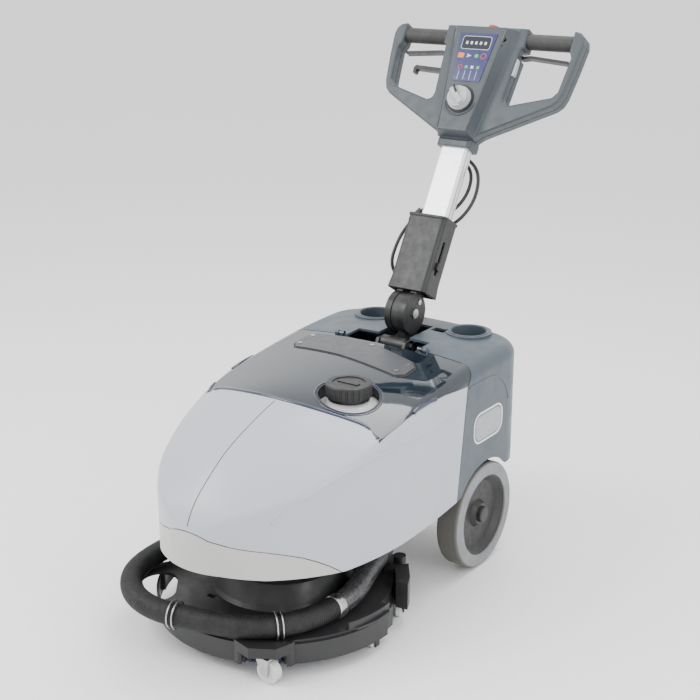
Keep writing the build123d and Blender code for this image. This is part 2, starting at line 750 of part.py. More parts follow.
def build_squeegee_body():
    """Arc-shaped carrier behind the deck with a raised shoulder at each end."""
    with BuildPart() as squeegee_body:
        with BuildSketch(Plane.XY.offset(34)):
            Circle(SQUEEGEE_R + 8)
            Circle(SQUEEGEE_R - 12, mode=Mode.SUBTRACT)
            with Locations((0, -110)):
                Rectangle(700, 420, mode=Mode.SUBTRACT)
        extrude(amount=22)
        for side in (-1, 1):
            with BuildSketch(Plane.XY.offset(34)):
                with BuildLine():
                    Polyline((side * 190, 64), (side * 211, 68), (side * 200, 92), (side * 172, 131),
                             (side * 156, 114), close=True)
                make_face()
            extrude(amount=48)
            turn = ARM_TURN if side > 0 else 180 - ARM_TURN
            with Locations(Rotation(0, 0, turn)):
                with Locations((194, 0, DECK_TOP + 2.3)):
                    Box(36, 26, 4)
                with Locations((204, 0, 60)):
                    Box(16, 26, 9)
            x, y, _, radius = ROLLERS["squeegee_roller_right"]
            tilt = 28 if side > 0 else 152
            start = Vector(side * x, y, radius) - Vector(cos(radians(tilt)), sin(radians(tilt)), 0) * 5.5
            with BuildSketch(Plane(origin=start, x_dir=(0, 0, 1),
                                   z_dir=(cos(radians(tilt)), sin(radians(tilt)), 0))):
                Circle(3)
            extrude(amount=14)
            with Locations(Location((side * x + 8 * cos(radians(tilt)), y + 8 * sin(radians(tilt)), 26),
                                    (0, 0, tilt))):
                Box(3, 14, 32)
    finish(squeegee_body, "squeegee_body")


def build_blade(word, radius, low):
    with BuildPart() as blade:
        with BuildSketch(Plane.XY.offset(low)):
            Circle(radius)
            Circle(radius - 3, mode=Mode.SUBTRACT)
            with Locations((0, -92)):
                Rectangle(700, 420, mode=Mode.SUBTRACT)
        extrude(amount=34 - low)
    finish(blade, word)


def build_squeegee_knobs():
    with BuildPart() as squeegee_knobs:
        for turn in (ARM_TURN, 180 - ARM_TURN):
            x, y = (SQUEEGEE_R - 2) * cos(radians(turn)), (SQUEEGEE_R - 2) * sin(radians(turn))
            with Locations((x, y, DECK_TOP + 4.4)):
                Cylinder(5, 6, align=(Align.CENTER, Align.CENTER, Align.MIN))
            with Locations((x, y, DECK_TOP + 10)):
                Cylinder(11, 14, align=(Align.CENTER, Align.CENTER, Align.MIN))
    finish(squeegee_knobs, "squeegee_knobs")


NOZZLE_AT = (0, 206)
ARM_TURN = 44


def build_hose_nozzle():
    """Suction stub on the squeegee, turned towards the hose."""
    with BuildPart() as hose_nozzle:
        with BuildSketch(Plane.XY.offset(56)):
            with Locations(NOZZLE_AT):
                RectangleRounded(60, 22, 8)
        extrude(amount=18)
        with Locations(Location((NOZZLE_AT[0], NOZZLE_AT[1], 88), (0, 90, 0))):
            Cylinder(17, 50)
    finish(hose_nozzle, "hose_nozzle")


HOSE_ROUTE = [
    (31, 206, 88), (68, 198, 88), (96, 175, 88), (113, 140, 87), (122, 100, 86.5),
    (133, 56, HOSE_Z), (148, 14, HOSE_Z), (158, -36, HOSE_Z), (153, -88, HOSE_Z),
    (136, -140, HOSE_Z), (98, -184, HOSE_Z), (46, -210, HOSE_Z), (-10, -223, HOSE_Z),
    (-68, -236, HOSE_Z), (-121, -228, HOSE_Z), (-165, -202, HOSE_Z), (-197, -162, HOSE_Z),
    (-210, -112, HOSE_Z), (-208, -56, 84), (-196, 0, 90), (-171, 50, 104),
    (-140, 84, 130), (-121, 96, 166), (-120, 96, 204),
]


def build_recovery_hose():
    spots, radii = round_route(HOSE_ROUTE, 3 * 2 * HOSE_R)
    with BuildPart() as recovery_hose:
        with BuildLine() as route:
            FilletPolyline(*spots, radius=radii)
        with BuildSketch(Plane(origin=spots[0], z_dir=Vector(*spots[1]) - Vector(*spots[0]))):
            Circle(HOSE_R)
        sweep()
    length = route.wires()[0].length
    print("hose length", round(length), "volume share", recovery_hose.part.volume / (length * 3.14159265 * HOSE_R ** 2))
    finish(recovery_hose, "recovery_hose")


def build_hose_clips():
    """Pairs of wire rings that hold the hose down on the deck."""
    with BuildPart() as hose_clips:
        for x, y, across in CLIP_SPOTS:
            along = Vector(-sin(radians(across)), cos(radians(across)), 0)
            for shift in (-4.5, 4.5):
                centre = Vector(x, y, HOSE_Z) + along * shift
                with Locations(Plane(origin=centre, x_dir=(0, 0, 1), z_dir=along)):
                    Torus(HOSE_R + 2.4, 1.3)
        with Locations((0, 0, DECK_TOP + 0.2)):
            Box(600, 600, 60, align=(Align.CENTER, Align.CENTER, Align.MAX), mode=Mode.SUBTRACT)
    finish(hose_clips, "hose_clips")


CLIP_SPOTS = [(-39, -229.5, 102.6), (117, -162, 139.2)]


# ---------------------------------------------------------------- handle
COVER_IN, COVER_OUT = WEB_HALF + GAP, 21


def build_knuckle_covers():
    """Discs and arms that clamp the web from both sides."""
    with BuildPart() as knuckle_covers:
        for side in (-1, 1):
            with BuildSketch(Plane.YZ.offset(side * COVER_IN)):
                with Locations((PIVOT[1], PIVOT[2])):
                    Circle(KNUCKLE_R)
                    with Locations(Rotation(0, 0, -LEAN)):
                        Rectangle(30, 60, align=(Align.CENTER, Align.MIN))
                with Locations((PIVOT[1], PIVOT[2])):
                    Circle(BOLT_R, mode=Mode.SUBTRACT)
            extrude(amount=side * (COVER_OUT - COVER_IN))
    finish(knuckle_covers, "knuckle_covers")


def build_tilt_bolt():
    with BuildPart() as tilt_bolt:
        with Locations(Location(PIVOT, (0, 90, 0))):
            Cylinder(BOLT_R, 2 * COVER_OUT)
        for side in (-1, 1):
            with Locations(Location((side * (COVER_OUT + 1.5), PIVOT[1], PIVOT[2]), (0, 90, 0))):
                Cylinder(9, 3)
    finish(tilt_bolt, "tilt_bolt")


def stem_block(low, high, half, back, front, round_by):
    """Rounded bar along the handle; back and front are distances out of the handle plane."""
    with BuildPart() as bar:
        with BuildSketch(STEM.offset(low)):
            with Locations((0, -(back + front) / 2)):
                RectangleRounded(2 * half, front - back, round_by)
        extrude(amount=high - low)
    return bar.part


BOX_HALF, BOX_BACK, BOX_FRONT, BOX_WALL = 40, -30, 22, 3
SLOT_LOW, SLOT_HIGH = 78, 142
LATCH_LOW, LATCH_HIGH = 86, 101


def build_handle_housing():
    with BuildPart() as handle_housing:
        with BuildSketch(STEM.offset(BOX_LOW)):
            with Locations((0, -(BOX_BACK + BOX_FRONT) / 2)):
                RectangleRounded(2 * BOX_HALF + 4, BOX_FRONT - BOX_BACK + 4, 9)
        with BuildSketch(STEM.offset(BOX_LOW + 24)):
            with Locations((0, -(BOX_BACK + BOX_FRONT) / 2)):
                RectangleRounded(2 * BOX_HALF, BOX_FRONT - BOX_BACK, 8)
        loft()
        add(stem_block(BOX_LOW + 24, BOX_HIGH - 5, BOX_HALF, BOX_BACK, BOX_FRONT, 8))
        add(stem_block(BOX_HIGH - 5, BOX_HIGH, BOX_HALF + 2, BOX_BACK - 2, BOX_FRONT + 2, 9))
        add(stem_block(BOX_LOW - 1, BOX_HIGH - 4, BOX_HALF - BOX_WALL, BOX_BACK + BOX_WALL,
                       BOX_FRONT - BOX_WALL, 5), mode=Mode.SUBTRACT)
        add(stem_block(BOX_LOW - 1, BOX_HIGH + 1, TUBE_HALF + 1, TUBE_BACK - 0.5, 1, 5), mode=Mode.SUBTRACT)
        with BuildSketch(Plane(origin=on_handle(BOX_HALF - 8, 0, 0), x_dir=UP, z_dir=(1, 0, 0))):
            with Locations(((SLOT_LOW + SLOT_HIGH) / 2, 0)):
                Rectangle(SLOT_HIGH - SLOT_LOW, 7)
        extrude(amount=20, mode=Mode.SUBTRACT)
    finish(handle_housing, "handle_housing")


def build_latch_slider():
    middle = (LATCH_LOW + LATCH_HIGH) / 2
    with BuildPart() as latch_slider:
        with BuildSketch(Plane(origin=on_handle(BOX_HALF + 0.3, middle, 0), x_dir=UP, z_dir=(1, 0, 0))):
            RectangleRounded(LATCH_HIGH - LATCH_LOW, 14, 3)
        extrude(amount=5)
        with BuildSketch(Plane(origin=on_handle(TUBE_HALF + 4, middle, 0), x_dir=UP, z_dir=(1, 0, 0))):
            Rectangle(12, 5.8)
        extrude(amount=BOX_HALF - TUBE_HALF - 3)
    finish(latch_slider, "latch_slider")


def build_handle_tube():
    with BuildPart() as handle_tube:
        add(stem_block(62, 400, TUBE_HALF, TUBE_BACK, 0, 5))
        add(stem_block(61, 401, TUBE_HALF - 3, TUBE_BACK + 3, -3, 3), mode=Mode.SUBTRACT)
    finish(handle_tube, "handle_tube")


HALF_OUTLINE = [(0, 341), (30, 341), (48, 357), (178, 424), (188, 434), (194, 450), (201, 500), (206, 549),
                (203, 562), (195, 570), (181, BAR_TOP), (181, 533), (188, 520), (181, 452),
                (172, 441), (88, 418), (78, 422), (75, 432), (82, 533), (88, 533), (88, BAR_TOP), (0, BAR_TOP)]


def bar_outline(plane):
    with BuildSketch(plane) as bar:
        with BuildLine():
            Polyline(*HALF_OUTLINE, close=True)
        make_face()
        mirror(about=Plane.YZ)
    return bar.sketch


COLLAR_HALF = 37
EDGE_BREAK = 2


def build_handlebar_front():
    """Front half of the bar shell with the console that carries the panel and the knob."""
    with BuildPart() as handlebar_front:
        extrude(bar_outline(FACE.offset(BAR_SPLIT + 0.1)), amount=BAR_FRONT - BAR_SPLIT - 0.1)
        chamfer(handlebar_front.faces().filter_by(lambda f: f.normal_at().dot(Vector(*OUT)) > 0.99).edges(), EDGE_BREAK)
        with BuildSketch(FACE.offset(BAR_FRONT - 3)):
            with BuildLine():
                Polyline((-40, 344), (40, 344), (74, 568), (-74, 568), close=True)
            make_face()
        with BuildSketch(FACE.offset(CONSOLE_FRONT)):
            with BuildLine():
                Polyline((-32, 352), (32, 352), (54, 562), (-54, 562), close=True)
            make_face()
        loft()
        with BuildSketch(FACE.offset(BAR_SPLIT)):
            with BuildLine():
                Polyline((-34, 410), (34, 410), (56, 545), (-56, 545), close=True)
            make_face()
        extrude(amount=CONSOLE_FRONT - BAR_SPLIT - 4, mode=Mode.SUBTRACT)
        add(stem_block(320, 402, TUBE_HALF + 0.4, TUBE_BACK - 0.4, 0.4, 5), mode=Mode.SUBTRACT)
        add(knob_spindle(SPINDLE_R + RUN), mode=Mode.SUBTRACT)
    finish(handlebar_front, "handlebar_front")


CONSOLE_FRONT = 27
KNOB_S = 414
KNOB_R = 22
SPINDLE_R = 4


def knob_spindle(radius):
    with BuildPart() as spindle:
        with BuildSketch(FACE.offset(BAR_FRONT + 1)):
            with Locations((0, KNOB_S)):
                Circle(radius)
        extrude(amount=40)
    return spindle.part


def build_handlebar_rear():
    with BuildPart() as handlebar_rear:
        extrude(bar_outline(FACE.offset(BAR_SPLIT - 0.1)), amount=BAR_BACK - BAR_SPLIT + 0.1)
        chamfer(handlebar_rear.faces().filter_by(lambda f: f.normal_at().dot(Vector(*OUT)) < -0.99).edges(), EDGE_BREAK)
        with BuildSketch(STEM.offset(328)):
            with Locations((0, -(TUBE_BACK + 0) / 2)):
                RectangleRounded(2 * COLLAR_HALF, 42, 9)
        extrude(amount=16)
        add(stem_block(320, 402, TUBE_HALF + 0.4, TUBE_BACK - 0.4, 0.4, 5), mode=Mode.SUBTRACT)
        extrude(bar_outline(FACE.offset(BAR_SPLIT)), amount=30, mode=Mode.SUBTRACT)
        for side in (-1, 1):
            with BuildSketch(FACE.offset(BAR_BACK - 1)):
                with BuildLine():
                    Polyline((side * 64, 515), (side * 100, 515), (side * 100, 532.5), (side * 64, 532.5), close=True)
                make_face()
            extrude(amount=30, mode=Mode.SUBTRACT)
        with BuildSketch(FACE.offset(BAR_BACK - 1)):
            with BuildLine():
                Polyline((-56, 474), (-100, 470), (-100, 498), (-56, 498), close=True)
            make_face()
        extrude(amount=16, mode=Mode.SUBTRACT)
        with BuildSketch(STEM.offset(BAR_TOP - 30)):
            with Locations((0, BUTTON_BACK)):
                Circle(BUTTON_STEM_R + RUN)
        extrude(amount=40, mode=Mode.SUBTRACT)
    finish(handlebar_rear, "handlebar_rear")


def build_grips():
    with BuildPart() as grips:
        for side in (-1, 1):
            start = on_handle(side * 88.2, GRIP_S, (BAR_FRONT + BAR_BACK) / 2)
            with BuildSketch(Plane(origin=start, x_dir=UP, z_dir=(side, 0, 0))):
                Circle(GRIP_R)
            extrude(amount=92.6)
    finish(grips, "grips")




def build_drive_lever(side, word):
    """Flat squeeze lever under the grip, on a pin beside the console."""
    with BuildPart() as drive_lever:
        with BuildSketch(FACE.offset(-26)):
            with BuildLine():
                Polyline((side * 70, 520), (side * 82, 518.5), (side * 96, 521), (side * 176, 514.5),
                         (side * 179, 517), (side * 177, 520), (side * 98, 526.5), (side * 84, 524.5),
                         (side * 70, 528), close=True)
            make_face()
        extrude(amount=13)
    finish(drive_lever, f"drive_lever_{word}")


def build_release_lever():
    with BuildPart() as release_lever:
        with BuildSketch(FACE.offset(-28.5)):
            with BuildLine():
                Polyline((-60, 480), (-60, 490), (-148, 494), (-152, 489), (-151, 478), (-145, 478),
                         (-145, 485.5), (-92, 483), close=True)
            make_face()
        extrude(amount=12)
    finish(release_lever, "release_lever")


def build_control_panel():
    with BuildPart() as control_panel:
        with BuildSketch(FACE.offset(CONSOLE_FRONT + 0.02)):
            with BuildLine():
                Polyline((-29, 450), (29, 450), (40, 547), (-40, 547), close=True)
            make_face()
        extrude(amount=1.2)
    finish(control_panel, "control_panel")


def build_mode_knob():
    with BuildPart() as mode_knob:
        with BuildSketch(FACE.offset(CONSOLE_FRONT + GAP)):
            with Locations((0, KNOB_S)):
                Circle(KNOB_R + 1)
        extrude(amount=7)
        with BuildSketch(FACE.offset(CONSOLE_FRONT + GAP + 7)):
            with Locations((0, KNOB_S)):
                Circle(KNOB_R - 1.5)
        extrude(amount=8)
        with BuildSketch(FACE.offset(CONSOLE_FRONT + GAP + 15)):
            with Locations(Location((0, KNOB_S), 135)):
                Rectangle(2 * KNOB_R - 6, 9)
        extrude(amount=6)
        with BuildSketch(FACE.offset(BAR_FRONT + 6)):
            with Locations((0, KNOB_S)):
                Circle(SPINDLE_R)
        extrude(amount=CONSOLE_FRONT - BAR_FRONT)
    finish(mode_knob, "mode_knob")


BUTTON_BACK = 18              # behind the bar's front plane
BUTTON_STEM_R = 3.5
BUTTON_TRAVEL = 4


def build_stop_button():
    """Domed push button on the top of the console."""
    with BuildPart() as stop_button:
        with BuildSketch(STEM.offset(BAR_TOP + BUTTON_TRAVEL + GAP)):
            with Locations((0, BUTTON_BACK)):
                Circle(11.5)
        extrude(amount=6)
        fillet(stop_button.edges().group_by(Axis(PIVOT, UP))[-1], 3)
        with BuildSketch(STEM.offset(BAR_TOP - 20)):
            with Locations((0, BUTTON_BACK)):
                Circle(BUTTON_STEM_R)
        extrude(amount=26)
    finish(stop_button, "stop_button")


LEFT_CABLE = [(-30, 226, -34), (-46, 206, -30), (-62, 181, -28), (-70, 152, -21),
              (-66.5, 120, -8), (-66.5, 94, -8), (-62, 74, -22), (-44, 60, -35)]
LOOP_CABLE = [(6, 324, -38), (25, 315, -40), (43, 297, -41), (51, 269, -42), (50, 238, -42),
              (40, 210, -40), (24, 189, -38), (6, 176, -37)]
RETURN_CABLE = [(-4, 321, -46), (13, 311, -49), (26, 292, -50), (29, 266, -50), (24, 240, -48),
                (12, 218, -44), (-4, 200, -40), (-18, 180, -38)]
CABLE_R = 3.4


def build_handle_cables():
    with BuildPart() as handle_cables:
        for route in (LEFT_CABLE, LOOP_CABLE, RETURN_CABLE):
            spots, radii = round_route([on_handle(*point) for point in route], 3 * 2 * CABLE_R)
            with BuildLine() as path:
                FilletPolyline(*spots, radius=radii)
            with BuildSketch(Plane(origin=spots[0], z_dir=Vector(*spots[1]) - Vector(*spots[0]))):
                Circle(CABLE_R)
            sweep()
            print("cable length", round(path.wires()[0].length))
    finish(handle_cables, "handle_cables")


def build_cable_connector():
    """Inline connector body on the left cable."""
    low, high = Vector(*on_handle(-62, 181, -28)), Vector(*on_handle(-46, 206, -30))
    with BuildPart() as cable_connector:
        with BuildSketch(Plane(origin=low, z_dir=high - low)):
            Circle(8)
            Circle(CABLE_R + 1.4, mode=Mode.SUBTRACT)
        extrude(amount=(high - low).length)
    finish(cable_connector, "cable_connector")


BUILDERS = [
    build_solution_tank, build_front_bumper, build_tank_lid, build_lid_cover_plate, build_lid_plate_screws,
    build_filler_neck, build_filler_cap, build_rear_body, build_lid_hinge_pins, build_recovery_tank,
    build_chassis_frame, build_swivel_bearing, build_axle, build_batteries, build_vacuum_motor,
    build_solution_pump, build_handle_column, build_knuckle_base, build_clamp_pin, build_deck_housing,
    build_front_skirt, build_gearmotor, build_drive_hub, build_brush_block, build_brush_bristles,
    build_caster_bracket, build_caster_fork, build_caster_wheel, build_squeegee_body, build_squeegee_knobs,
    build_hose_nozzle, build_recovery_hose, build_hose_clips, build_knuckle_covers, build_tilt_bolt,
    build_handle_housing, build_latch_slider, build_handle_tube, build_handlebar_front, build_handlebar_rear,
    build_grips, build_release_lever, build_control_panel, build_mode_knob, build_stop_button,
    build_handle_cables, build_cable_connector,
]

for build in BUILDERS:
    build()
for side, word in ((-1, "left"), (1, "right")):
    build_wheel(side, word)
    build_drive_lever(side, word)
for word, (x, y, turn, radius) in ROLLERS.items():
    build_roller(word, x, y, turn, radius)
for word, radius, low in (("squeegee_blade_front", SQUEEGEE_R - 8, 0.3), ("squeegee_blade_rear", SQUEEGEE_R + 6, 0)):
    build_blade(word, radius, low)
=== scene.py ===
import json
import math

import bmesh
import bpy
import numpy as np
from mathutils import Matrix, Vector
from mathutils.bvhtree import BVHTree


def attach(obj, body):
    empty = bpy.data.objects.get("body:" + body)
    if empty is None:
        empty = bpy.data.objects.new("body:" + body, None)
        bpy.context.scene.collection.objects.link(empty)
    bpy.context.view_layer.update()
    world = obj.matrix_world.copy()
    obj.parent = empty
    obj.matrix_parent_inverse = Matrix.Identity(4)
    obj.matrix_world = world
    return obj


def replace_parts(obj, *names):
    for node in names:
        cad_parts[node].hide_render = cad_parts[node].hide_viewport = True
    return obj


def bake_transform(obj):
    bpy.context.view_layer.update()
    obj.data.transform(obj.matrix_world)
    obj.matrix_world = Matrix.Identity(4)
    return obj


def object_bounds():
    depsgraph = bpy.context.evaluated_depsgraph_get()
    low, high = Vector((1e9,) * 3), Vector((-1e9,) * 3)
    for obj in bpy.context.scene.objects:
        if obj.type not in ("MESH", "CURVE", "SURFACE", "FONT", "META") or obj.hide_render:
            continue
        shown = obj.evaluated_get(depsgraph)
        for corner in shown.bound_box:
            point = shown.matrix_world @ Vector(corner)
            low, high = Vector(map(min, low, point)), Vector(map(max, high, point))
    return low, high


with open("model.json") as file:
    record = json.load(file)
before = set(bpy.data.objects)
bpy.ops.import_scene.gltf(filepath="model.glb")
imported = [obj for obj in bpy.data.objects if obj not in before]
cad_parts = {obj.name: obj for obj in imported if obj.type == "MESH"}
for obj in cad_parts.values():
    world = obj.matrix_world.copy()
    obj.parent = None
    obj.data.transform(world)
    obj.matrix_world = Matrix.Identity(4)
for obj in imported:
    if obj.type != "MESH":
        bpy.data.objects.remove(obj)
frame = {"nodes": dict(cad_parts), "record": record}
cad_low, cad_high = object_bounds()
nodes = frame["nodes"]
scene = bpy.context.scene

# ---------------------------------------------------------------- frame of the handle
PIVOT = Vector((0, 0.378, 0.445))
LEAN = math.radians(30)
UP = Vector((0, math.sin(LEAN), math.cos(LEAN)))
OUT = Vector((0, -math.cos(LEAN), math.sin(LEAN)))


def on_handle(x, up, out):
    """Place of a point given in mm across, up and out of the handle."""
    return PIVOT + Vector((x, 0, 0)) / 1000 + UP * (up / 1000) + OUT * (out / 1000)


# ---------------------------------------------------------------- materials
def surface(name, color, other=None, patch=14, rough=(0.35, 0.5), grain=900, depth=0.0001,
            metallic=0.0, coat=0.0, coat_rough=0.08, transmission=0.0, ior=1.46, sheen=0.0,
            detail=3.0, streak=None, pattern=None):
    """Procedural finish: patchy colour, uneven gloss and a fine moulded grain."""
    made = bpy.data.materials.new(name)
    made.use_nodes = True
    tree = made.node_tree
    link = tree.links.new
    shader = tree.nodes["Principled BSDF"]
    place = tree.nodes.new("ShaderNodeTexCoord").outputs["Object"]
    if streak:
        mapping = tree.nodes.new("ShaderNodeMapping")
        mapping.inputs["Scale"].default_value = streak
        link(place, mapping.inputs["Vector"])
        fine = mapping.outputs["Vector"]
    else:
        fine = place

    def noise(scale, where):
        made_noise = tree.nodes.new("ShaderNodeTexNoise")
        made_noise.inputs["Scale"].default_value = scale
        made_noise.inputs["Detail"].default_value = detail
        link(where, made_noise.inputs["Vector"])
        return made_noise.outputs["Fac"]

    def ramp(value, low, high, first, last):
        made_ramp = tree.nodes.new("ShaderNodeValToRGB")
        made_ramp.color_ramp.elements[0].position = low
        made_ramp.color_ramp.elements[1].position = high
        made_ramp.color_ramp.elements[0].color = (*first, 1)
        made_ramp.color_ramp.elements[1].color = (*last, 1)
        link(value, made_ramp.inputs["Fac"])
        return made_ramp.outputs["Color"]

    other = other or tuple(channel * 0.86 for channel in color)
    tint = ramp(noise(patch, place), 0.35, 0.68, color, other)
    if pattern:
        tint = pattern(tree, place, tint)
    link(tint, shader.inputs["Base Color"])
    spread = tree.nodes.new("ShaderNodeMapRange")
    spread.inputs["From Min"].default_value = 0.3
    spread.inputs["From Max"].default_value = 0.7
    spread.inputs["To Min"].default_value = rough[0]
    spread.inputs["To Max"].default_value = rough[1]
    link(noise(patch * 4, fine), spread.inputs["Value"])
    link(spread.outputs["Result"], shader.inputs["Roughness"])
    bump = tree.nodes.new("ShaderNodeBump")
    bump.inputs["Strength"].default_value = 0.6
    bump.inputs["Distance"].default_value = depth
    link(noise(grain, fine), bump.inputs["Height"])
    link(bump.outputs["Normal"], shader.inputs["Normal"])
    shader.inputs["Metallic"].default_value = metallic
    shader.inputs["Coat Weight"].default_value = coat
    shader.inputs["Coat Roughness"].default_value = coat_rough
    shader.inputs["Transmission Weight"].default_value = transmission
    shader.inputs["IOR"].default_value = ior
    shader.inputs["Sheen Weight"].default_value = sheen
    return made


def tread_pattern(tree, place, tint):
    """Dusty darker running band on the outside of the tyre."""
    apart = tree.nodes.new("ShaderNodeVectorMath")
    apart.operation = "MULTIPLY_ADD"
    apart.inputs[1].default_value = (0, 1, 1)
    apart.inputs[2].default_value = (0, -0.342, -0.1)
    tree.links.new(place, apart.inputs[0])
    length = tree.nodes.new("ShaderNodeVectorMath")
    length.operation = "LENGTH"
    tree.links.new(apart.outputs[0], length.inputs[0])
    band = tree.nodes.new("ShaderNodeMapRange")
    band.inputs["From Min"].default_value = 0.0965
    band.inputs["From Max"].default_value = 0.0985
    tree.links.new(length.outputs["Value"], band.inputs["Value"])
    mix = tree.nodes.new("ShaderNodeMix")
    mix.data_type = "RGBA"
    mix.inputs["B"].default_value = (0.115, 0.112, 0.1, 1)
    tree.links.new(band.outputs["Result"], mix.inputs["Factor"])
    tree.links.new(tint, mix.inputs["A"])
    return mix.outputs["Result"]


MATS = {
    "hood": surface("hood_grey_plastic", (0.455, 0.468, 0.515), (0.43, 0.442, 0.488), 6, (0.3, 0.42), 1400,
                    0.00006),
    "bumper": surface("bumper_grey_plastic", (0.47, 0.466, 0.445), (0.43, 0.426, 0.405), 9, (0.3, 0.45),
                      1200, 0.00008),
    "slate": surface("slate_shell_plastic", (0.064, 0.085, 0.102), (0.055, 0.074, 0.09), 8, (0.3, 0.44),
                     1400, 0.00007),
    "lid": surface("smoked_clear_lid", (0.05, 0.085, 0.125), (0.042, 0.072, 0.108), 5, (0.02, 0.07), 160,
                   0.000003, transmission=0.82, ior=1.5, coat=0.5, coat_rough=0.02),
    "plate": surface("cover_plate_plastic", (0.065, 0.069, 0.076), (0.056, 0.06, 0.066), 16, (0.3, 0.42),
                     1600, 0.00008),
    "black": surface("black_moulded_plastic", (0.012, 0.012, 0.013), (0.019, 0.019, 0.02), 26, (0.32, 0.5),
                     1500, 0.0001),
    "deck": surface("deck_black_plastic", (0.016, 0.0165, 0.018), (0.026, 0.026, 0.027), 12, (0.28, 0.48),
                    1100, 0.0001),
    "steel": surface("brushed_steel", (0.56, 0.56, 0.55), (0.45, 0.45, 0.44), 40, (0.2, 0.42), 500, 0.00004,
                     metallic=1, streak=(1, 12, 1)),
    "dark_steel": surface("black_painted_steel", (0.025, 0.025, 0.027), (0.035, 0.034, 0.033), 18,
                          (0.35, 0.55), 700, 0.00012),
    "tyre": surface("grey_tyre_rubber", (0.23, 0.24, 0.247), (0.195, 0.2, 0.207), 30, (0.62, 0.8), 1500,
                    0.00018, pattern=tread_pattern),
    "rim": surface("rim_dark_plastic", (0.017, 0.017, 0.0165), (0.025, 0.0245, 0.024), 22, (0.38, 0.55),
                   1200, 0.0001),
    "battery": surface("battery_case_plastic", (0.04, 0.042, 0.05), (0.055, 0.055, 0.06), 12, (0.45, 0.6),
                       900, 0.0001),
    "bar": surface("handlebar_slate_plastic", (0.052, 0.064, 0.073), (0.044, 0.055, 0.063), 14,
                   (0.34, 0.48), 1300, 0.0001),
    "grip": surface("grip_rubber", (0.03, 0.029, 0.029), (0.042, 0.04, 0.039), 30, (0.5, 0.7), 1600, 0.0002),
    "tube": surface("anodised_aluminium", (0.9, 0.905, 0.915), (0.85, 0.855, 0.865), 18, (0.26, 0.36), 420,
                    0.00003, metallic=0.45, streak=(14, 1, 1)),
    "housing": surface("housing_grey_plastic", (0.018, 0.0185, 0.02), (0.024, 0.0245, 0.026), 18,
                       (0.36, 0.5), 1500, 0.00012),
    "panel": surface("panel_navy_film", (0.028, 0.034, 0.13), (0.022, 0.028, 0.105), 40, (0.1, 0.2), 600,
                     0.00002, coat=0.6),
    "knob": surface("knob_grey_plastic", (0.44, 0.465, 0.475), (0.4, 0.42, 0.43), 40, (0.35, 0.5), 1500,
                    0.0001),
    "red": surface("stop_red_plastic", (0.5, 0.045, 0.035), (0.42, 0.035, 0.03), 60, (0.18, 0.3), 900,
                   0.00003, coat=0.4),
    "cable": surface("cable_black_rubber", (0.018, 0.018, 0.018), (0.027, 0.027, 0.027), 60, (0.4, 0.55),
                     1800, 0.0001),
    "hose": surface("hose_sleeve_weave", (0.005, 0.005, 0.0055), (0.011, 0.011, 0.011), 50, (0.55, 0.75),
                    900, 0.0004),
    "rubber": surface("blade_rubber_grey", (0.07, 0.07, 0.068), (0.1, 0.098, 0.094), 30, (0.5, 0.7), 1200,
                      0.0001),
    "bristle": surface("bristle_nylon", (0.06, 0.09, 0.19), (0.09, 0.12, 0.23), 60, (0.35, 0.55), 1500,
                       0.0002),
    "caster": surface("caster_pale_plastic", (0.62, 0.625, 0.63), (0.55, 0.55, 0.55), 40, (0.2, 0.35), 900,
                      0.00006, coat=0.2),
    "tank": surface("tank_dark_plastic", (0.09, 0.125, 0.16), (0.07, 0.1, 0.13), 9, (0.35, 0.5), 900, 0.0001),
    "line": surface("shadow_line_black", (0.012, 0.012, 0.014), (0.02, 0.02, 0.022), 60, (0.5, 0.65), 1500,
                    0.00004),
    "badge": surface("badge_white_rim", (0.78, 0.79, 0.8), (0.72, 0.73, 0.74), 60, (0.25, 0.4), 1500,
                     0.00004),
    "plate_pale": surface("badge_grey_face", (0.36, 0.38, 0.4), (0.32, 0.34, 0.36), 60, (0.3, 0.45), 1500,
                          0.00006),
    "lid_edge": surface("lid_edge_blue", (0.012, 0.02, 0.05), (0.02, 0.03, 0.07), 14, (0.05, 0.14), 400,
                        0.00001, coat=0.8, coat_rough=0.03),
    "helix": surface("hose_helix_grey", (0.025, 0.025, 0.028), (0.09, 0.09, 0.095), 220, (0.2, 0.36), 1200,
                     0.00008, coat=0.3),
    "ink_pale": surface("ink_pale", (0.6, 0.63, 0.68), (0.55, 0.58, 0.62), 90, (0.3, 0.4), 900, 0.00001),
    "ink_dark": surface("ink_dark", (0.006, 0.008, 0.014), (0.01, 0.012, 0.02), 90, (0.08, 0.16), 900,
                        0.00001, coat=0.6),
    "ink_orange": surface("ink_orange", (0.75, 0.2, 0.03), (0.68, 0.17, 0.025), 90, (0.3, 0.4), 900, 0.00001),
    "ink_green": surface("ink_green", (0.09, 0.42, 0.13), (0.07, 0.36, 0.11), 90, (0.3, 0.4), 900, 0.00001),
}
SLOT_LOOK = {
    "hood_grey": "hood", "bumper_grey": "bumper", "slate_shell": "slate", "smoked_lid": "lid",
    "plate_grey": "plate", "black_plastic": "black", "deck_black": "deck", "steel": "steel",
    "dark_steel": "dark_steel", "tyre_grey": "tyre", "rim_dark": "rim", "battery_case": "battery",
    "bar_slate": "bar", "grip_black": "grip", "tube_silver": "tube", "housing_grey": "housing",
    "panel_navy": "panel", "knob_grey": "knob", "stop_red": "red", "cable_black": "cable",
    "hose_black": "hose", "blade_rubber": "rubber", "bristle": "bristle", "caster_white": "caster",
    "tank_dark": "tank",
}
for row in frame["record"]["subparts"]:
    mesh = nodes[row["node"]].data
    mesh.materials.clear()
    mesh.materials.append(MATS[SLOT_LOOK[row["material_slot"]]])

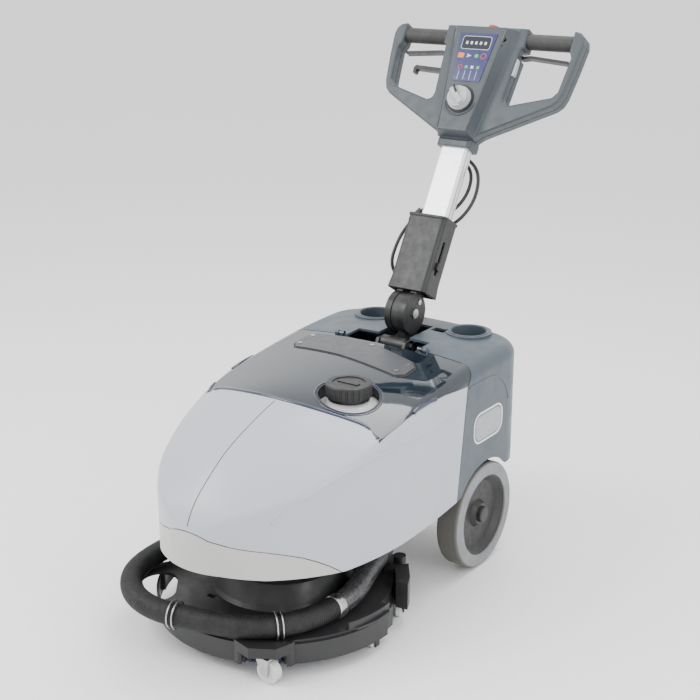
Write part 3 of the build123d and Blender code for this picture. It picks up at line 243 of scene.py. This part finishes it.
LOOK_SLOT = {look: slot for slot, look in SLOT_LOOK.items()}
LOOK_SLOT.update({
    "line": "black_plastic", "badge": "bumper_grey", "plate_pale": "bumper_grey", "lid_edge": "smoked_lid",
    "helix": "hose_black", "ink_pale": "panel_navy", "ink_dark": "panel_navy", "ink_orange": "panel_navy",
    "ink_green": "panel_navy",
})

# ---------------------------------------------------------------- helpers for the added pieces
SIDES = ((-1, "left"), (1, "right"))


def mm(*point):
    """A point given in mm, in metres."""
    return Vector(point) / 1000


def circle(x, y, radius, count):
    """Points round a circle, as (x, y) pairs."""
    turns = np.linspace(0, math.tau, count, endpoint=False)
    return [(x + radius * math.cos(turn), y + radius * math.sin(turn)) for turn in turns]


def piece(name, verts, faces, look, body, smooth=True):
    """A new mesh object, riding on a body unless that is None."""
    mesh = bpy.data.meshes.new(name)
    mesh.from_pydata([tuple(v) for v in verts], [], faces)
    work = bmesh.new()
    work.from_mesh(mesh)
    bmesh.ops.recalc_face_normals(work, faces=work.faces)
    work.to_mesh(mesh)
    work.free()
    mesh.materials.append(MATS[look])
    mesh.polygons.foreach_set("use_smooth", [smooth] * len(mesh.polygons))
    made = bpy.data.objects.new(name, mesh)
    scene.collection.objects.link(made)
    if body:
        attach(made, body)
    return made


def resample(spots, step):
    """Points spaced by about step mm along straight runs between spots."""
    spots = [Vector(s) for s in spots]
    lengths = [0.0]
    for a, b in zip(spots, spots[1:]):
        lengths.append(lengths[-1] + (b - a).length)
    count = max(2, int(lengths[-1] / (step / 1000)) + 1)
    wanted = np.linspace(0, lengths[-1], count)
    grid = np.array([tuple(s) for s in spots])
    return [Vector(p) for p in np.stack([np.interp(wanted, lengths, grid[:, k]) for k in range(3)], 1)]


def centreline(points, step=1.0):
    """Evenly spaced points on a spline drawn by control points in metres."""
    curve = bpy.data.curves.new("route", "CURVE")
    curve.dimensions = "3D"
    spline = curve.splines.new("NURBS")
    spline.points.add(len(points) - 1)
    for held, point in zip(spline.points, points):
        held.co = (*point, 1)
    spline.order_u = 3
    spline.use_endpoint_u = True
    spline.resolution_u = 24
    helper = bpy.data.objects.new("route", curve)
    mesh = helper.to_mesh()
    spots = [v.co.copy() for v in mesh.vertices]
    helper.to_mesh_clear()
    bpy.data.objects.remove(helper)
    bpy.data.curves.remove(curve)
    return resample(spots, step)


def ring_section(radius, count=24):
    """Round section for sweep()."""
    turns = [math.tau * k / count for k in range(count)]
    return [(radius * math.cos(turn), radius * math.sin(turn)) for turn in turns]


def sweep(name, spots, section, look, body, closed=False, normals=None, scale=None):
    """Section carried along a line; it holds (across, out) pairs in metres, and scale(i) swells it."""
    verts, faces, count = [], [], len(section)
    side = None
    total = len(spots)
    for i, spot in enumerate(spots):
        ahead = spots[(i + 1) % total] if closed or i + 1 < total else spot
        behind = spots[i - 1] if closed or i > 0 else spot
        along = (ahead - behind).normalized()
        if normals:
            out = (normals[i] - along * normals[i].dot(along)).normalized()
            side = along.cross(out)
        else:
            if side is None:
                side = along.orthogonal().normalized()
            side = (side - along * side.dot(along)).normalized()
            out = side.cross(along)
        size = scale(i) if scale else 1
        verts += [spot + side * (a * size) + out * (b * size) for a, b in section]
    for i in range(total if closed else total - 1):
        j = (i + 1) % total
        for k in range(count):
            n = (k + 1) % count
            faces.append((i * count + k, i * count + n, j * count + n, j * count + k))
    if not closed:
        faces.append(tuple(range(count)))
        faces.append(tuple((total - 1) * count + k for k in reversed(range(count))))
    return piece(name, verts, faces, look, body)


def skin(name):
    """Search tree over the outside of a node."""
    held = nodes[name]
    verts = [held.matrix_world @ v.co for v in held.data.vertices]
    return BVHTree.FromPolygons(verts, [tuple(p.vertices) for p in held.data.polygons])


def trim(name, tree, points, toward, width, height, look, body, closed=False, smooth=False):
    """Low ridge, in mm, laid on a surface below a line; toward is ("to", place) or ("way", direction)."""
    step, sink, reach, lift = 2.0, 0.0005, 0.14, 0.06
    path = [Vector(p) / 1000 for p in points]
    if closed:
        path.append(path[0])
    spots = centreline(path, step) if smooth else resample(path, step)
    if closed:
        spots = spots[:-1]
    held, normals = [], []
    for spot in spots:
        aim = toward[1] if toward[0] == "way" else (Vector(toward[1]) / 1000 - spot)
        aim = Vector(aim).normalized()
        hit, normal, _, _ = tree.ray_cast(spot - aim * lift, aim, reach)
        if hit is None:
            continue
        held.append(hit)
        normals.append(normal if normal.dot(aim) < 0 else -normal)
    w, h = width / 2000, height / 1000
    section = [(-w, -sink), (w, -sink), (w * 0.9, h * 0.55), (w * 0.45, h), (-w * 0.45, h),
               (-w * 0.9, h * 0.55)]
    whole = closed and len(held) == len(spots)
    return sweep(name, held, section, look, body, closed=whole, normals=normals)


def plate(name, outline, low, high, look, body, place):
    """Flat prism over an outline in mm; place turns (x, y, height) into a point."""
    count = len(outline)
    verts = [place(x, y, low) for x, y in outline] + [place(x, y, high) for x, y in outline]
    faces = [tuple(reversed(range(count))), tuple(range(count, 2 * count))]
    faces += [(k, (k + 1) % count, count + (k + 1) % count, count + k) for k in range(count)]
    return piece(name, verts, faces, look, body, False)


def revolved(name, profile, place, look, body, count, smooth=True):
    """Closed ring with a section of (radius, height) pairs; place turns (x, y, height) into a point."""
    verts, faces, size = [], [], len(profile)
    for k in range(count):
        turn = math.tau * k / count
        n = (k + 1) % count
        verts += [place(r * math.cos(turn), r * math.sin(turn), z) for r, z in profile]
        faces += [(k * size + j, k * size + (j + 1) % size, n * size + (j + 1) % size, n * size + j)
                  for j in range(size)]
    return piece(name, verts, faces, look, body, smooth)


def rounded(x0, y0, x1, y1, radius, count=5):
    """Outline of a rectangle with round corners."""
    spots = []
    for cx, cy, turn in ((x1 - radius, y1 - radius, 0), (x0 + radius, y1 - radius, 90),
                         (x0 + radius, y0 + radius, 180), (x1 - radius, y0 + radius, 270)):
        for k in range(count + 1):
            angle = math.radians(turn + 90 * k / count)
            spots.append((cx + radius * math.cos(angle), cy + radius * math.sin(angle)))
    return spots


def join(name, parts):
    """Several meshes of one look made into one piece."""
    first = parts[0]
    work = bmesh.new()
    for part in parts:
        work.from_mesh(part.data)
    work.to_mesh(first.data)
    work.free()
    first.name = name
    for part in parts[1:]:
        mesh = part.data
        bpy.data.objects.remove(part)
        bpy.data.meshes.remove(mesh)


def softened(node, voxel, look):
    """Stand-in for a node of the handle with every edge rounded by a fine remesh and relaxing."""
    held = nodes[node]
    verts = [held.matrix_world @ v.co for v in held.data.vertices]
    made = piece(node + "_rounded", verts, [tuple(p.vertices) for p in held.data.polygons], look, "handle")
    remesh = made.modifiers.new("fine", "REMESH")
    remesh.mode = "VOXEL"
    remesh.voxel_size = voxel
    remesh.use_smooth_shade = True
    relax = made.modifiers.new("relax", "SMOOTH")
    relax.factor = 0.5
    relax.iterations = 5
    graph = bpy.context.evaluated_depsgraph_get()
    graph.update()
    fresh = bpy.data.meshes.new_from_object(made.evaluated_get(graph))
    coarse = made.data
    made.modifiers.clear()
    made.data = fresh
    fresh.materials.clear()
    fresh.materials.append(MATS[look])
    fresh.polygons.foreach_set("use_smooth", [True] * len(fresh.polygons))
    bpy.data.meshes.remove(coarse)
    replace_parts(made, node)


# ---------------------------------------------------------------- casings
DOWN = ("way", (0, 0, -1))
CORE = ("to", (0, 60, 200))   # place inside the hood that its trims are pressed towards
HOOD_SEAM = [(-14, 392), (-83, 368), (-138, 344), (-185, 312), (-222, 277), (-234, 250)]
HOOD_CREASE = [(118, -176, 262), (140, -134, 292), (166, -80, 314), (188, -20, 331), (199, 60, 328),
               (201, 136, 322), (201, 192, 328), (201, 236, 334)]
REAR_CREASE = [(274, 367), (314, 367), (350, 366), (378, 360), (400, 343), (414, 322), (418, 306)]
REAR_WALL = 203               # x of the lines pressed onto the side of the rear shell
RECESS = (102.6, 438)
FINGER_CATCH = [(199, 92, 369), (198, 112, 378), (197, 136, 381), (198, 160, 380), (199, 184, 377)]
COVER_GAP = [(-125.5, 204.5), (-138.8, 221.4), (-142.8, 262.6), (-129, 280.8), (-60, 283.8), (8.4, 275.8),
             (30.8, 263.7), (104.9, 241.7), (121.8, 222.8), (123.9, 189.4), (108.5, 174.1), (59.8, 180.2),
             (-20.4, 194.2)]
FILLER = (88, 72)
DISH_LINER = [(34.5, 375.5), (34.5, 386), (37.5, 380), (44, 377.6), (49.5, 378.4), (49.5, 375.5)]


def hood_lines():
    hood = skin("solution_tank")
    seam = [(0, y, z) for y, z in HOOD_SEAM]
    trim("hood_centre_seam", hood, seam, CORE, 1.8, 0.12, "line", "chassis", smooth=True)
    for side, word in SIDES:
        crease = [(side * x, y, z) for x, y, z in HOOD_CREASE]
        trim(f"hood_crease_{word}", hood, crease, CORE, 7, 0.9, "hood", "chassis", smooth=True)


def rear_details():
    """Blank badges, the inset's crease and the raised rims of the two recesses."""
    rear = skin("rear_body")
    for side, word in SIDES:
        inward = ("way", (-side, 0, 0))
        rim = [(side * REAR_WALL, y, z) for y, z in rounded(296, 251, 396, 306, 20)]
        trim(f"badge_rim_{word}", rear, rim, inward, 4, 0.9, "badge", "chassis", closed=True)
        plate(f"badge_face_{word}", rounded(300, 255, 392, 302, 17), 200.4, 201.6, "plate_pale", "chassis",
              lambda y, z, out, side=side: mm(side * out, y, z))
        crease = [(side * REAR_WALL, y, z) for y, z in REAR_CREASE]
        trim(f"rear_crease_{word}", rear, crease, inward, 5, 0.9, "slate", "chassis", smooth=True)
    for side, word in SIDES:
        rim = [(x, y, 412) for x, y in circle(side * RECESS[0], RECESS[1], 36, 48)]
        trim(f"recess_rim_{word}", rear, rim, DOWN, 4, 1.4, "slate", "chassis", closed=True)


def lid_details():
    """Finger catches, gap round the cover plate, rim and liner of the filler's dish, and front lip."""
    lid = skin("tank_lid")
    for side, word in SIDES:
        catch = [(side * x, y, z) for x, y, z in FINGER_CATCH]
        trim(f"lid_finger_catch_{word}", lid, catch, CORE, 7, 3.2, "lid_edge", "lid", smooth=True)
    gap = [(x, y, 410) for x, y in COVER_GAP]
    trim("lid_plate_gap", lid, gap, DOWN, 3.6, 0.6, "line", "lid", closed=True)
    rim = [(x, y, 400) for x, y in circle(*FILLER, 56.5, 90)]
    trim("lid_dish_rim", lid, rim, DOWN, 3.6, 1.2, "lid_edge", "lid", closed=True)
    lip, inset, lowest = [], 1.2, 0.352
    for x in np.linspace(-190, 190, 96):
        for y in np.arange(-16, 60, 0.5):
            hit = lid.ray_cast(mm(x, y, 460), Vector((0, 0, -1)), 0.2)[0]
            if hit is not None and hit.z > lowest:
                lip.append(tuple(hit * 1000 + Vector((0, inset, 0))))
                break
    trim("lid_front_lip", lid, lip[::3], DOWN, 7, 2.2, "lid_edge", "lid", smooth=True)
    revolved("filler_dish_liner", DISH_LINER, lambda x, y, z: mm(FILLER[0] + x, FILLER[1] + y, z),
             "caster", "lid", 96)


hood_lines()
rear_details()
lid_details()

# ---------------------------------------------------------------- hose
HOSE_ROUTE = [
    (31, 206, 88), (68, 198, 88), (96, 175, 88), (113, 140, 87), (122, 100, 86.5), (133, 56, 82),
    (148, 14, 82), (158, -36, 82), (153, -88, 82), (136, -140, 82), (98, -184, 82), (46, -210, 82),
    (-10, -223, 82), (-68, -236, 82), (-121, -228, 82), (-165, -202, 82), (-197, -162, 82),
    (-210, -112, 82), (-208, -56, 84), (-196, 0, 90), (-171, 50, 104), (-140, 84, 130),
    (-121, 96, 166), (-120, 96, 204)]
COLLAR_NEAR = (157, -62, 82)
COLLAR_HALF = 8               # centreline points each way


def suction_hose():
    """Finely ribbed sleeve, a coarser ribbed stretch before it, and the collar between them."""
    line = centreline([mm(*p) for p in HOSE_ROUTE], 0.9)
    collar = min(range(len(line) // 2), key=lambda i: (line[i] - mm(*COLLAR_NEAR)).length)
    sleeve = sweep("suction_hose_sleeve", line[collar:], ring_section(0.0189, 32), "hose", None,
                   scale=lambda i: 0.985 + 0.015 * math.cos(math.tau * i / 4))
    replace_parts(sleeve, "recovery_hose")
    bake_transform(sleeve)
    sweep("suction_hose_helix", line[:collar + 1], ring_section(0.0182, 32), "helix", "deck",
          scale=lambda i: 1.0 + 0.055 * (0.5 + 0.5 * math.cos(math.tau * i / 6)) ** 2)
    sweep("suction_hose_collar", line[collar - COLLAR_HALF:collar + COLLAR_HALF + 1],
          ring_section(0.0208, 40), "steel", "deck",
          scale=lambda i: 1.0 - 0.03 * (abs(i - COLLAR_HALF) / COLLAR_HALF) ** 4)


suction_hose()

# ---------------------------------------------------------------- handle
CABLES = {                    # across, up and out of the handle
    "left": [(-30, 226, -34), (-46, 206, -30), (-62, 181, -28), (-70, 152, -21), (-66.5, 120, -8),
             (-66.5, 94, -8), (-62, 74, -22), (-44, 60, -35)],
    "loop": [(6, 324, -38), (25, 315, -40), (43, 297, -41), (51, 269, -42), (50, 238, -42), (40, 210, -40),
             (24, 189, -38), (6, 176, -37)],
    "return": [(-4, 321, -46), (13, 311, -49), (26, 292, -50), (29, 266, -50), (24, 240, -48),
               (12, 218, -44), (-4, 200, -40), (-18, 180, -38)],
}


def handle_cables():
    for word, route in CABLES.items():
        line = centreline([on_handle(*p) for p in route], 2)
        cable = sweep(f"handle_cable_{word}", line, ring_section(0.0034, 16), "cable", "handle")
        if word == "left":
            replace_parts(cable, "handle_cables")


handle_cables()
softened("handlebar_front", 0.0014, "bar")
softened("handlebar_rear", 0.0014, "bar")
softened("handle_housing", 0.0013, "housing")

# ---------------------------------------------------------------- console
PANEL = 28.2                  # height of the panel's face out of the handle
INK = 0.4                     # thickness of a printed sign
KNOB_UP = 414
KNOB_TOP = 48.2


def sticker(name, outline, low, high, look):
    return plate(name, outline, low, high, look, "handle", on_handle)


def stickers(name, outlines, low, high, look):
    """Like signs in a row, as one piece."""
    join(name, [sticker(f"{name}_{k}", outline, low, high, look) for k, outline in enumerate(outlines)])


def flat_ring(name, x, up, outer, inner, low, high, look, count=32):
    section = ((outer, low), (outer, high), (inner, high), (inner, low))
    revolved(name, section, lambda a, b, z: on_handle(x + a, up + b, z), look, "handle", count, False)


def panel_signs():
    ink = PANEL + INK
    frame_top, glass_top, sign_top = PANEL + 0.25, PANEL + 0.5, PANEL + 0.7
    sticker("panel_window_frame", rounded(-31, 514, 31, 541, 5), PANEL, frame_top, "ink_pale")
    sticker("panel_window", rounded(-30, 515, 30, 540, 4.4), frame_top, glass_top, "ink_dark")
    bars = [rounded(x - 2.4, 524, x + 2.4, 530, 1) for x in (-20, -10, 0, 10, 20)]
    stickers("panel_window_signs", bars, glass_top, sign_top, "ink_pale")
    sticker("panel_tab_orange", rounded(-32, 496, -19, 506, 1.5), PANEL, ink, "ink_orange")
    sticker("panel_arrow", [(-13, 497), (-3, 501), (-13, 505), (-11, 501)], PANEL, ink, "ink_pale")
    sticker("panel_leaf_green", rounded(4, 497, 12, 505, 3.5), PANEL, ink, "ink_green")
    flat_ring("panel_ring_red", 23, 501, 6, 4.4, PANEL, ink, "red")
    flat_ring("panel_ring_low", -20, 478, 4.6, 3.2, PANEL, ink, "red")
    squares = [rounded(x - 3, 475, x + 3, 481, 1) for x in (-7, 18)]
    stickers("panel_squares_green", squares, PANEL, ink, "ink_green")
    sticker("panel_square_pale", rounded(2.5, 475, 8.5, 481, 1), PANEL, ink, "ink_pale")
    leaders = [[(x - 0.4, 453), (x + 0.4, 453), (x + 0.4, 471), (x - 0.4, 471)] for x in (-20, -7, 5.5, 18)]
    stickers("panel_leaders", leaders, PANEL, PANEL + 0.3, "ink_pale")


def console_details():
    """Knob surround and pointer, side tab, console ridges, tube grooves and the knuckle's screw."""
    flat_ring("knob_base_ring", 0, KNOB_UP, 27.5, 22.8, 26.4, 28.6, "line", 64)
    turns = np.linspace(math.radians(188), math.radians(352), 40)
    under = [on_handle(32 * math.cos(turn), KNOB_UP + 32 * math.sin(turn), 26.9) for turn in turns]
    sweep("knob_surround", under, ring_section(0.0022, 12), "bar", "handle")
    sticker("console_tab", rounded(71, 478, 83, 512, 3.5), -6, 3, "knob")
    for side, word in SIDES:
        ridge = [(31.5, 356), (36, 400), (42, 450), (49, 520), (53, 558)]
        sweep(f"console_ridge_{word}", [on_handle(side * x, up, 26.2) for x, up in ridge],
              ring_section(0.0018, 10), "bar", "handle")
        for level, out in (("upper", -8), ("lower", -18)):
            groove = [(188, out - 0.6), (328, out - 0.6), (328, out + 0.6), (188, out + 0.6)]
            plate(f"tube_groove_{word}_{level}", groove, 28.3, 28.62, "line", "handle",
                  lambda up, n, across, side=side: on_handle(side * across, up, n))
    pointer = [(-2, 418), (2, 420), (-8, 434), (-12, 432)]
    plate("knob_pointer", pointer, KNOB_TOP, KNOB_TOP + 0.7, "line", "knob", on_handle)
    plate("knuckle_screw", circle(-6, 24, 5, 20), 21.0, 22.2, "steel", "handle",
          lambda n, up, across: on_handle(across, up, n))


panel_signs()
console_details()


# ---------------------------------------------------------------- brush
def brush_tufts():
    """Rings of hexagonal tufts that splay a little towards the floor."""
    verts, faces = [], []
    chance = np.random.default_rng(7)
    for radius in np.arange(65, 176, 8.5):
        count = int(math.tau * radius / 9.5)
        for k in range(count):
            turn = math.tau * (k + 0.5 * (int(radius) % 2)) / count
            foot = Vector((radius * math.cos(turn), radius * math.sin(turn), 0))
            drift = Vector((*chance.uniform(-1.2, 1.2, 2), 0))
            start = len(verts)
            for height, size, shift in ((0, 3.7, 1.0), (14, 3.2, 0.4), (28.4, 2.6, 0.0)):
                for x, y in circle(0, 0, size, 6):
                    verts.append((foot + drift * shift + Vector((x, y, height))) / 1000)
            for level in (0, 6):
                for j in range(6):
                    n = (j + 1) % 6
                    faces.append(tuple(start + level + i for i in (j, n, 6 + n, 6 + j)))
            faces.append(tuple(start + j for j in reversed(range(6))))
            faces.append(tuple(start + 12 + j for j in range(6)))
    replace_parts(piece("brush_tufts", verts, faces, "bristle", "brush"), "brush_bristles")


brush_tufts()

# ---------------------------------------------------------------- camera, light and floor
camera = bpy.data.objects.new("camera", bpy.data.cameras.new("camera"))
scene.collection.objects.link(camera)
camera.location = (1.2593, -1.5881, 1.1402)
aim = Vector((0.172, -0.0293, 0.5175)) - camera.location
camera.rotation_euler = aim.to_track_quat("-Z", "Y").to_euler()
camera.data.lens = 67.4
camera.data.sensor_width = 36
camera.data.shift_x = -0.0077
camera.data.shift_y = -0.004
scene.camera = camera

world = bpy.data.worlds.new("studio")
scene.world = world
world.use_nodes = True
world.node_tree.nodes["Background"].inputs["Color"].default_value = (1, 1, 1, 1)
world.node_tree.nodes["Background"].inputs["Strength"].default_value = 1.45


def area_light(name, place, target, size, power):
    light = bpy.data.objects.new(name, bpy.data.lights.new(name, "AREA"))
    light.data.shape = "RECTANGLE"
    light.data.size, light.data.size_y = size
    light.data.energy = power
    light.location = place
    light.rotation_euler = (Vector(target) - Vector(place)).to_track_quat("-Z", "Y").to_euler()
    scene.collection.objects.link(light)


area_light("key", (-1.6, -1.5, 2.2), (0, 0, 0.4), (1.5, 1.5), 62)
area_light("side", (2.2, -0.3, 1.2), (0, 0, 0.3), (1.0, 1.6), 18)
area_light("top", (0.2, 0.9, 2.4), (0, 0.1, 0.5), (1.6, 1.0), 34)

floor_mesh = bpy.data.meshes.new("floor")
floor_mesh.from_pydata([(-60, -60, 0), (60, -60, 0), (60, 60, 0), (-60, 60, 0)], [], [(0, 1, 2, 3)])
floor = bpy.data.objects.new("floor", floor_mesh)
scene.collection.objects.link(floor)
floor.location.z = cad_low.z - 0.0003
floor_mesh.materials.append(
    surface("pale_floor", (0.95, 0.95, 0.95), (0.93, 0.93, 0.93), 60, (0.5, 0.7), 700, 0.0006))
